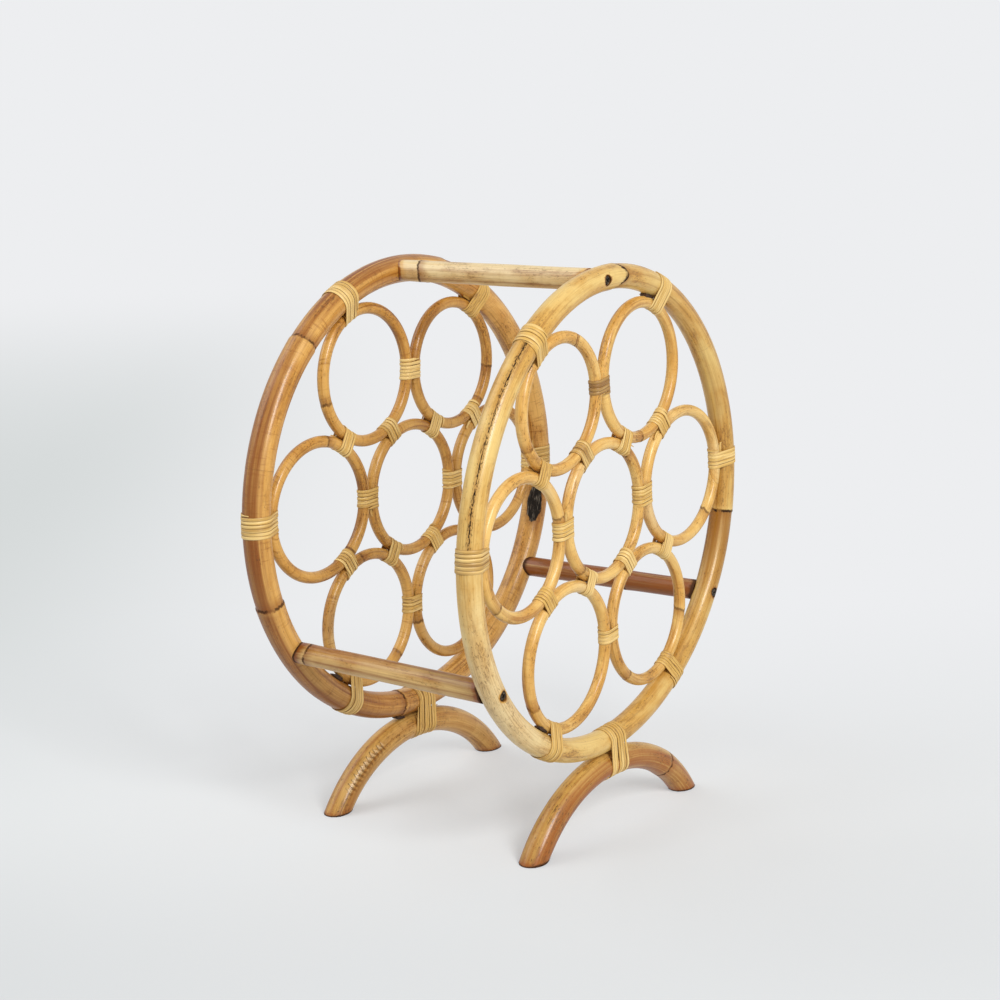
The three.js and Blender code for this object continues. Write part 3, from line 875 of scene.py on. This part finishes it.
def make_hoop(side, seed, brown):
    start, bend = hoop_joint[side.name], side.hoop_bend
    sweep = tau - butt_gap / bend
    cane = bent_cane(f"{side.name}_hoop", bend, side.pole, hoop_flats, hoop_steps, sweep)
    soften_ends(cane, rim_round)
    screw_holes(cane, side, start)

    def along_to(angle):
        """The distance along the pole to an angle of the hoop."""
        return (angle - start) % tau * bend

    nodes = [along_to(radians(angle)) for angle in hoop_nodes[side.name]] + [0.0, sweep * bend]
    mark_angle, mark_side, mark_lean = (radians(angle) for angle in hoop_mark[side.name])

    def brown_here(along, around):
        ends = 0.15 * np.exp((along - sweep * bend) / 0.03) - 0.15 * np.exp(-along / 0.02)
        beside = wrapped(around - side.outwards * pi / 2) * side.pole / 2
        # Dirt and painted shade darken the rim of each screw hole.
        rims = sum(dirt_and_hole_shade(along - along_to(screw), beside) for screw in strut_angles.values())
        return brown(wrapped(np.degrees(start + along / bend), 180), around) + ends + rims

    def mark_here(along, around):
        from_middle = along - along_to(mark_angle)
        lean = mark_side + mark_lean * from_middle / mark_reach
        return np.column_stack((from_middle, wrapped(around - lean) * side.pole / 2, 0 * along))

    def spot(turn, out):
        return (side.radius(start + turn) + out) * np.exp(1j * (start + turn))

    def joint(out, across):
        return (-12 * (1 - out ** 2) * np.where(across < 0, 1, -0.4) - 5 * out + 3) * mm

    lay_cane(cane, side, seed, bend, side.pole, sweep, nodes, brown_here, 0.04, spot, joint, 0.2, mark_here)
    dress(cane, f"hoop_cane_{side.name}", f"hoop_cane_{side.name}", f"hoop_{side.name}")
    print(cane.name, "has", len(cane.data.polygons), "faces and", len(nodes), "nodes")


make_hoop(front, 1, front_brown)
make_hoop(back, 2, back_brown)

# %% [markdown]
# ## The rings
# A ring is a thin cane bent round, with its ends cut on a long slant and laid on each other. One is
# spun and copied, and each copy is then laid along its own ring, pressed as long as its place needs.
# Where a node or a scar shows in a certain place, that place is written down. The other nodes fall by
# chance, from a fixed seed.

# %% One plain ring
ring_flats, ring_steps, scarf_length, scarf_gap = 28, 220, 12 * mm, 0.25 * mm
scarf_sweep = tau - scarf_gap / ring_radius
known_nodes = {
    ("front", "lower_right"): (0.1079, -0.0962), ("front", "lower_left"): (-0.1016, -0.1148),
    ("back", "upper_right"): (0.1088, 0.0808), ("back", "upper_left"): (-0.0951, 0.0820),
}
known_joints = {("front", "right"): -14, ("front", "upper_left"): -62, ("front", "centre"): 128}
plain_ring = bent_cane("plain_ring", ring_radius, ring_cane, ring_flats, ring_steps, scarf_sweep)
soften_ends(plain_ring, 0.2 * mm)
print("one ring has", len(plain_ring.data.polygons), "faces")

# %% All fourteen rings


def make_ring(ring, seed):
    side, key = ring.side, (ring.side.name, ring.place)
    chance = np.random.default_rng(40 + seed)
    usual_joint = chance.uniform(-8, 8) + (60 if ring.place == "centre" else 0)
    start = radians(known_joints.get(key, usual_joint))
    own = [chance.uniform(40, 150), chance.uniform(190, 320)]
    if key in known_nodes:
        spot_seen = (complex(*known_nodes[key]) - ring.centre) * cmath.exp(-1j * ring.angle)
        own[0] = degrees(cmath.phase(spot_seen))
    nodes = [(radians(angle) - start) % tau * ring_radius for angle in own]
    deeper = chance.uniform(0.02, 0.20) + (0.08 if side is back else 0)
    slant = scarf_length / 2 * copysign(1, chance.uniform(-1, 1))

    def brown_here(along, around):
        return deeper + wobble(along, 90 + seed, 0.3) + 0.05 * np.cos(around - 1)

    def spot(turn, out):
        return ring.at(start + turn, ring_radius + out)

    def joint(out, across):
        return slant * across

    cane = add_piece(f"{side.name}_ring_{ring.place}", plain_ring.data.copy())
    lay_cane(cane, side, 10 + seed, ring_radius, ring_cane, scarf_sweep, nodes, brown_here, 0.03, spot, joint)
    dress(cane, f"ring_cane_{side.name}", "ring_cane", f"ring_{side.name}_{ring.place}")


for i, ring in enumerate([ring for side in sides for ring in side.rings]):
    make_ring(ring, i)
bpy.data.objects.remove(plain_ring)
print("fourteen rings of", ring_flats, "by", ring_steps, "faces")

# %% [markdown]
# ## The struts
# Three straight poles hold the hoops apart. Each end is hollowed a little, so that it sits against the
# round of its hoop. A strut is a circle drawn out into a pole in short steps, and each point is then
# placed between the two hoops. The end faces have rings inside, so that they can follow the hollow.

# %% Three struts
strut_flats, strut_steps, cope_depth = 40, 60, 3 * mm
end_rings = (0.3 * mm, 1.2 * mm, 2 * mm, 2 * mm)
# For each strut, where along it the node is, how brown it is, and how much painted shade browns its underside
# and painted highlight pales its top
strut_looks = {"top": (0.885, -0.28, 0.2), "left": (0.94, 0.50, -0.02), "right": (0.39, 0.95, 0.0)}


def make_strut(place, angle, seed):
    pole = start_shape(bpy.ops.mesh.primitive_circle_add, f"{place}_strut", vertices=strut_flats,
                       radius=strut_pole / 2, fill_type="NGON", rotation=along_y)
    step = (0, hoop_spacing / strut_steps, 0)
    with editing(pole):
        for _ in range(strut_steps):
            bpy.ops.mesh.extrude_region_move(TRANSFORM_OT_translate={"value": step})
        pick_faces(pole, is_end)
        for thickness in end_rings:
            bpy.ops.mesh.inset(thickness=thickness, use_individual=True)
        face_outwards()

    x, y, z = read_points(pole).T
    outwards = x * cos(angle) + z * sin(angle)
    hollow = []
    for side in sides:
        reach = side.pole / 2 + touch_gap
        hollow.append(np.maximum(np.sqrt(np.maximum(reach ** 2 - outwards ** 2, 0)), reach - cope_depth))
    node, browning, under = strut_looks[place]
    past = to_nearest(y, [hoop_spacing * node])
    grown = 1 + 0.03 * bell(past, 6 * mm) + wobble(y, 70 + seed, 0.02)
    dark_end = 1.6 * np.exp(-np.minimum(y, hoop_spacing - y) / (2.5 * mm))
    # The under share browns the underside as painted shade and pales the top as painted highlight.
    note(pole, cane=np.column_stack((y + 5.1 * seed, x, z)), node_distance=past,
         browning=browning + dark_end + under * np.cos(np.arctan2(z, x) + 1.6))
    share = y / hoop_spacing
    ends = [cmath.rect(side.radius(angle), angle) for side in sides]
    line = ends[0] + share * (ends[1] - ends[0])
    placed = front.y + hollow[0] + share * (hoop_spacing - hollow[0] - hollow[1])
    write_points(pole, in_space(line + (x + 1j * z) * grown, placed))
    dress(pole, "strut_cane", "strut_cane", f"strut_{place}")
    print(pole.name, "runs", round((hoop_spacing - hollow[0].min() - hollow[1].min()) / mm, 1), "mm")


for i, (place, angle) in enumerate(strut_angles.items()):
    make_strut(place, angle, i)

# %% [markdown]
# ## The feet
# Each hoop stands on one arched pole, bound under its lowest point. The pole is spun as an arc that runs
# past the floor at both ends, and then cut off level there, as the maker saws it.

# %% The arch of a foot
foot_flats, foot_steps, sawn_round = 48, 220, 0.9 * mm


def foot_arch(side, half, floor_level):
    """An arch with its bend's middle at the origin, cut off level at the floor."""
    pole = bent_cane(f"{side.name}_foot", side.foot_bend, foot_pole, foot_flats, foot_steps, 2 * half)
    pole.rotation_euler = (0, half - pi / 2, 0)
    only(pole)
    bpy.ops.object.transform_apply(location=True, rotation=True, scale=True)
    with editing(pole):
        bpy.ops.mesh.bisect(plane_co=(0, 0, floor_level), plane_no=(0, 0, 1), clear_inner=True, use_fill=True)
    soften_ends(pole, sawn_round)
    return pole


# %% Two feet
# For each foot, the shares of its length where nodes are, and how much browner its flanks are
foot_looks = {"front": ((0.24,), 0.62), "back": ((), 0.34)}
crease_share, crease_angle = 0.76, radians(-60)


def make_foot(side, seed):
    seat = side.beside(side.foot_angle, (side.pole + touch_gap) / 2)
    centre = side.beside(side.foot_angle, side.pole / 2 + touch_gap + foot_pole / 2 + side.foot_bend)
    centre_height = hoop_height + centre.imag
    half = acos(-(centre_height + foot_pole) / side.foot_bend)
    pole = foot_arch(side, half, -centre_height)

    x, y, z = read_points(pole).T
    lean = np.arctan2(z, x)
    out, height = np.hypot(x, z) - side.foot_bend, z + centre_height
    around = np.arctan2(y, out)
    along, length = (lean - pi / 2 + half) * side.foot_bend, 2 * half * side.foot_bend
    node_shares, flank = foot_looks[side.name]
    past = to_nearest(along, [share * length for share in node_shares])
    grown = 1 + 0.03 * bell(past, 8 * mm) + wobble(along, 50 + seed, 0.025)
    tips = 2.4 * np.exp(-np.maximum(height, 0) / (1.3 * mm))
    under = flank / (1 + np.exp((np.cos(around) - 0.68) * 12)) * np.where(along < 0.24 * length, 0.6, 1.0)
    from_crease = along - crease_share * length
    beside = wrapped(around - crease_angle) * foot_pole / 2
    note(pole, cane=np.column_stack((along + 6.3 * seed, out, y)), node_distance=past,
         browning=0.16 + tips + under + 0.15 * np.exp(-height / 0.02),
         mark=np.column_stack((from_crease, beside, 0 * along)))
    arm = side.foot_bend + out * grown
    level = np.maximum(arm * np.sin(lean) + centre_height, 0.0)
    level[height < 0.01 * mm] = 0.0
    from_seat = arm * np.cos(lean) + centre.real - seat.real + 1j * y * grown
    twisted = from_seat * cmath.exp(1j * foot_twist) + seat.real
    write_points(pole, np.column_stack((twisted.real, twisted.imag + side.y, level)))
    dress(pole, f"foot_{side.name}", "foot_cane", f"foot_{side.name}")
    print(pole.name, "arches", round((centre_height + side.foot_bend - foot_pole / 2) / mm, 1), "mm high")


for i, side in enumerate(sides):
    make_foot(side, i)

# %% [markdown]
# ## The bindings
# Wherever two canes touch, a strip of peel is wound round both. No modifier winds a strip round two
# canes that curve apart, so its points are worked out. At each height the belt round the two canes is
# an arc on one, a straight run, an arc on the other, and a straight run back. The strip climbs along
# the canes as it goes, and each of its edges follows the canes at its own height, so the winding
# narrows and widens with them.

# %% The belt round two canes


class Bound:
    """A cane as a binding meets it: its radius, its bend, the way to the bend's middle, and its slant."""

    def __init__(self, radius, bend, bend_way, slant=0.0):
        self.radius, self.bend, self.bend_way, self.slant = radius, bend, bend_way, slant

    def middle(self, way, height):
        """The middle of its section at a height along the binding, as x + 1j * y."""
        curved_off = self.bend - np.sqrt(self.bend ** 2 - height ** 2)
        return way * (self.radius + touch_gap / 2) + self.bend_way * curved_off + 1j * self.slant * height


def belt_point(left, right, share, height, off):
    """The point of the belt at a share of one turn and a height, a distance off the canes."""
    left_middle, right_middle = left.middle(-1, height), right.middle(1, height)
    left_reach, right_reach = left.radius + off, right.radius + off
    span = right_middle - left_middle
    lean = np.arccos((left.radius - right.radius) / abs(span))
    run = abs(span) * np.sin(lean)

    def on_left(angle):
        return left_middle + left_reach * np.exp(1j * (angle + np.angle(span)))

    def on_right(angle):
        return right_middle + right_reach * np.exp(1j * (angle + np.angle(span)))

    def between(start, end, way):
        return start + (end - start) * way / run

    after_right = 2 * lean * right_reach
    after_upper = after_right + run
    after_left = after_upper + 2 * (pi - lean) * left_reach
    total = after_left + run
    way = share * total
    spot = np.select(
        [way < after_right, way < after_upper, way < after_left],
        [on_right(way / right_reach - lean), between(on_right(lean), on_left(lean), way - after_right),
         on_left((way - after_upper) / left_reach + lean)],
        between(on_left(-lean), on_right(-lean), way - after_left),
    )
    return spot, total


ring_left, ring_right = Bound(ring_cane / 2, ring_radius, -1), Bound(ring_cane / 2, ring_radius, 1)
ring_belt = float(belt_point(ring_left, ring_right, 0.0, 0.0, 0.0)[1])
print("one turn round two rings is", round(ring_belt / mm, 1), "mm of peel")

# %% A winding and the end of its strip
turn_steps, tail_rows = 44, 9
# The strip's section: a flat underside and a slightly crowned top, by the share across and the height
strip_section = ((-1, 0.0), (-1, 0.45), (-0.72, 0.85), (0, 1.0), (0.72, 0.85), (1, 0.45), (1, 0.0), (0, 0.0))
tail_section = ((-1, -1), (-1, 1), (1, 1), (1, -1))


def tube_faces(rows, corners):
    """The faces of a tube whose points come row by row, with both ends closed."""
    last = (rows - 1) * corners
    faces = [tuple(range(corners)), tuple(last + i for i in reversed(range(corners)))]
    for row in range(0, last, corners):
        for i in range(corners):
            a, b = row + i, row + (i + 1) % corners
            faces.append((a, a + corners, b + corners, b))
    return faces


def winding(left, right, turns, pitch, seed, loose):
    """The points, faces and strip coordinates of a winding, with canes along Z and X from left to right."""
    chance = np.random.default_rng(seed)
    count = int(turns * turn_steps)
    step = np.arange(count + 1)
    jitter = chance.normal(0, loose, int(turns) + 3)
    drift = np.interp(step / turn_steps, np.arange(len(jitter)), jitter - jitter.mean()) * pitch
    share = (chance.uniform(0, 1) + step / turn_steps) % 1.0
    climb = pitch * (step / turn_steps - turns / 2) + drift
    half = peel_width / 2 * (1 + 0.05 * np.sin(step * 0.11 + chance.uniform(0, 6)))
    taper = np.clip(np.minimum(step, count - step) / 5, 0.35, 1)
    lift = 0.22 * mm + 0.12 * mm * np.sin(step * 0.07 + chance.uniform(0, 6))
    rows, strips = [], []
    for across, high in strip_section:
        height = climb + across * half * taper
        above = high * peel_thickness
        spot, total = belt_point(left, right, share, height, lift + above)
        rows.append(np.column_stack((spot.real, spot.imag, height)))
        strips.append(np.column_stack((step / turn_steps * total + seed, across * half, above + 0 * height)))
    points, strip = (np.stack(columns, axis=1).reshape(-1, 3) for columns in (rows, strips))
    return points, tube_faces(len(step), len(strip_section)), strip


def tail(radius, end, side_way, seed):
    """The end of the strip, tucked between the two canes and poking out of the winding."""
    chance = np.random.default_rng(seed)
    length = chance.uniform(3.5, 6.5) * mm
    lean = chance.uniform(-0.25, 0.25)
    points, strip = [], []
    for row in np.linspace(-4 * mm, length, tail_rows):
        out = max(row, 0)
        half = 0.42 * peel_width * (1 - 0.35 * out / length)
        x, y = lean * out, side_way * (radius * 0.62 + 0.9 * mm * (out / length) ** 2)
        z = copysign(abs(end) + row, end)
        for across, high in tail_section:
            points.append((x + across * half * 0.55, y + across * half * 0.5 + high * 0.28 * mm, z))
            strip.append((row + seed, across * half, high))
    return np.array(points), tube_faces(tail_rows, len(tail_section)), np.array(strip)


# %% A binding in its place
known_tones = {"front_hoop_tie_left": 0.42, "front_hoop_tie_right": -0.5,
               "front_rim_tie_top": 0.75, "front_centre_tie_upper_left": 0.5}


def tie(side, kind, place, left, right, turns, pitch, spot, facing, seed, tails=1, loose=0.07):
    """Makes a winding at a place of a hoop's plane, turned to face along it."""
    points, faces, strip = winding(left, right, turns, pitch, seed, loose)
    chance = np.random.default_rng(seed + 900)
    reach = turns * pitch / 2 + peel_width / 2
    for _ in range(tails):
        end, side_way = (copysign(size, chance.uniform(-1, 1)) for size in (reach, 1))
        more, more_faces, more_strip = tail(min(left.radius, right.radius), end, side_way, seed)
        faces += [tuple(len(points) + i for i in face) for face in more_faces]
        points, strip = np.concatenate([points, more]), np.concatenate([strip, more_strip])
    spots = (points[:, 0] + 1j * points[:, 2]) * cmath.exp(1j * facing) + spot
    name = f"{side.name}_{kind}{place}"
    mesh = bpy.data.meshes.new(name)
    mesh.from_pydata(in_space(spots, points[:, 1] + side.y).tolist(), [], faces)
    piece = add_piece(name, mesh)
    tone = known_tones.get(name, chance.uniform(-0.1, 0.25) + (0.12 if side is back else 0))
    note(piece, strip=strip, tone=np.full(len(points), tone))
    with editing(piece):
        face_outwards()
    dress(piece, "peel", "peel", f"{kind}_{side.name}{place}")


# %% [markdown]
# The same winding serves all the crossings. Ring to ring takes about five turns, ring to hoop six, and a
# foot takes seven, because it carries the weight.

# %% All thirty-eight bindings
ring_pitch, foot_pitch = 2.65 * mm, 2.9 * mm
centre_turns, rim_turns, hoop_turns, foot_turns = (4.6, 5.2, 5.5), (4.5, 5.1, 5.6), (5.7, 6.2, 6.6), 7.4
seed = 100
for side in sides:
    hoop_inside, hoop_over = (Bound(side.pole / 2, side.hoop_bend, way) for way in (1, -1))
    outer = side.rings[:6]
    for i, ring in enumerate(outer):
        following = outer[(i + 1) % 6]
        chance = np.random.default_rng(seed)
        spoke = side.middle + cmath.rect(ring_step / 2, ring.angle)
        facing = cmath.phase(following.centre - ring.centre)
        meeting = (ring.furthest(facing) + following.furthest(facing + pi)) / 2
        touch = side.beside(ring.hoop_angle, -(side.pole + touch_gap) / 2)
        inwards = side.facing(ring.hoop_angle) + pi
        for kind, place, left, turns, spot, way, tails in (
            ("centre_tie", ring.place, ring_left, centre_turns, spoke, ring.angle, i % 2),
            ("rim_tie", rim_places[i], ring_left, rim_turns, meeting, facing, (i + 1) % 2),
            ("hoop_tie", ring.place, hoop_inside, hoop_turns, touch, inwards, 1),
        ):
            count = chance.choice(turns)
            tie(side, kind, f"_{place}", left, ring_right, count, ring_pitch, spot, way, seed, tails)
            seed += 1
    foot_under = Bound(foot_pole / 2, side.foot_bend, 1, tan(foot_twist))
    under = side.beside(side.foot_angle, (side.pole + touch_gap) / 2)
    tie(side, "foot_tie", "", hoop_over, foot_under, foot_turns, foot_pitch, under,
        side.facing(side.foot_angle), seed, 2, 0.22)
    seed += 1
    print(side.name, "side bound at", 3 * len(outer) + 1, "places")

# %% [markdown]
# ## The packing
# Where a ring doesn't quite fill its place, the maker taps a chip of dark cane into the wedge between it
# and the hoop; the chip's near-black colour is partly its own and partly painted shade of the wedge. A chip
# starts as a cube that is cut to a taper, split into a few steps and rounded.

# %% Five chips
chip_size = (2.8 * mm, 5.5 * mm, 10.5 * mm)
chip_places = (
    (front, 69.2, 1.5, "chip_top"), (front, 128.5, 1.0, "chip_upper_left"),
    (front, 235.5, 1.5, "chip_low_left"), (back, 232, 1.3, "chip_back_low_left"),
    (back, 261.8, -21.6, "chip_under_back_hoop"),
)


def make_chip(side, angle, drop, name):
    """A chip at an angle of a hoop, a few millimetres in from the hoop's inside."""
    chip = start_shape(bpy.ops.mesh.primitive_cube_add, name, size=1, scale=chip_size)
    with editing(chip):
        bpy.ops.mesh.subdivide(number_cuts=3)
        pick_faces(chip, lambda face: face.normal.z < -0.9)
        bpy.ops.transform.resize(value=(0.35, 0.8, 1), center_override=(0, 0, 0))
        bpy.ops.mesh.select_all(action="SELECT")
        bpy.ops.mesh.bevel(offset=0.15 * mm, segments=1)
    points = read_points(chip)
    x, y, z = (points + 0.12 * mm * np.sin(points[:, [1, 2, 0]] * 2600)).T
    spots = (x + 1j * z) * cmath.exp(1j * side.facing(angle)) + side.beside(angle, -side.pole / 2 - drop * mm)
    write_points(chip, in_space(spots, y + side.y))
    dress(chip, "packing_and_shade")


for side, angle, drop, name in chip_places:
    make_chip(side, radians(angle), drop, name)
print(len(chip_places), "chips of packing")

# %% [markdown]
# ## The room
# A pale floor and soft light, the stronger one from beside the camera and the weaker one from
# behind. The floor carries painted shade, darker towards the camera and on its left, and near the rack a
# share of it glows, a painted light that softens the rack's shadow. Behind the rack the floor fades to the
# plain colour of the background, so that no horizon shows. That colour is only for the camera and for
# reflections, and adds no light to the rack.

# %% The floor
bpy.context.scene.view_settings.view_transform = "Standard"
background = "edeef0"


def in_sight(finish):
    """1 for the rays of the camera, of gloss and of clear things, and 0 for the rays that only light."""
    rays = finish.add("ShaderNodeLightPath").socket.node.outputs
    kinds = ("Is Camera Ray", "Is Glossy Ray", "Is Transmission Ray")
    camera_ray, glossy_ray, clear_ray = (Shade(finish, rays[kind]) for kind in kinds)
    return camera_ray.larger(glossy_ray).larger(clear_ray)


floor = start_shape(bpy.ops.mesh.primitive_circle_add, "floor", vertices=96, radius=6, fill_type="NGON")
ground = Finish("floor")
backwards = Vector((-away.x, -away.y, 0)).normalized()
behind = ground.vector_maths("DOT_PRODUCT", ground.place(), backwards, out="Value")
beside = ground.vector_maths("DOT_PRODUCT", ground.place(), level_right, out="Value")
# The floor is painted darker towards the camera, painted shade that evens out the brighter pool of the key
# light there.
near_colour = ground.mix(ground.rise(behind, 0.05, -0.32), "e6e9ea", "d0d3d4")
shady_side = ground.rise(beside, -0.12, -0.68) * ground.rise(behind, 3.5, 1.0)
plain = ground.add("ShaderNodeBsdfDiffuse", sockets={"Color": near_colour})
glow = ground.add("ShaderNodeEmission", sockets={"Color": ground.mix(shady_side, background, "d6dada")})
# Far off the floor is all glow; near the rack and in front of it over a third still glows, a painted light
# that softens the rack's shadow.
fade_and_shadow_lift = (ground.rise(behind, -0.05, 0.55) * 0.65 + 0.35) * in_sight(ground)
ground.end(ground.add("ShaderNodeMixShader", sockets={0: fade_and_shadow_lift, 1: plain, 2: glow}))
floor.data.materials.append(ground.material)
print("floor of", round(floor.dimensions.x, 1), "m across")

# %% The light
world = bpy.data.worlds.new("studio")
bpy.context.scene.world = world
air = Finish("studio", world)
seen = air.add("ShaderNodeBackground", sockets={"Color": background})
light = air.add("ShaderNodeBackground", sockets={"Color": "ffffff", "Strength": 0.41})
sky = air.add("ShaderNodeMixShader", sockets={0: in_sight(air), 1: light, 2: seen})
air.end(sky, "ShaderNodeOutputWorld")
lit_point = Vector((0, 0, 0.2))


def softbox(name, place, size, power):
    bpy.ops.object.light_add(type="AREA", location=place)
    lamp = bpy.context.object
    lamp.name = name
    lamp.data.shape = "RECTANGLE"
    lamp.data.size, lamp.data.size_y = size
    lamp.data.energy = power
    lamp.rotation_euler = (lit_point - Vector(place)).to_track_quat("-Z", "Y").to_euler()


softbox("key_light", (-0.9, -2.0, 1.6), (0.6, 1.2), 54)
softbox("back_light", (-1.0, 1.6, 1.9), (1.8, 1.8), 26)
print("world and two softboxes")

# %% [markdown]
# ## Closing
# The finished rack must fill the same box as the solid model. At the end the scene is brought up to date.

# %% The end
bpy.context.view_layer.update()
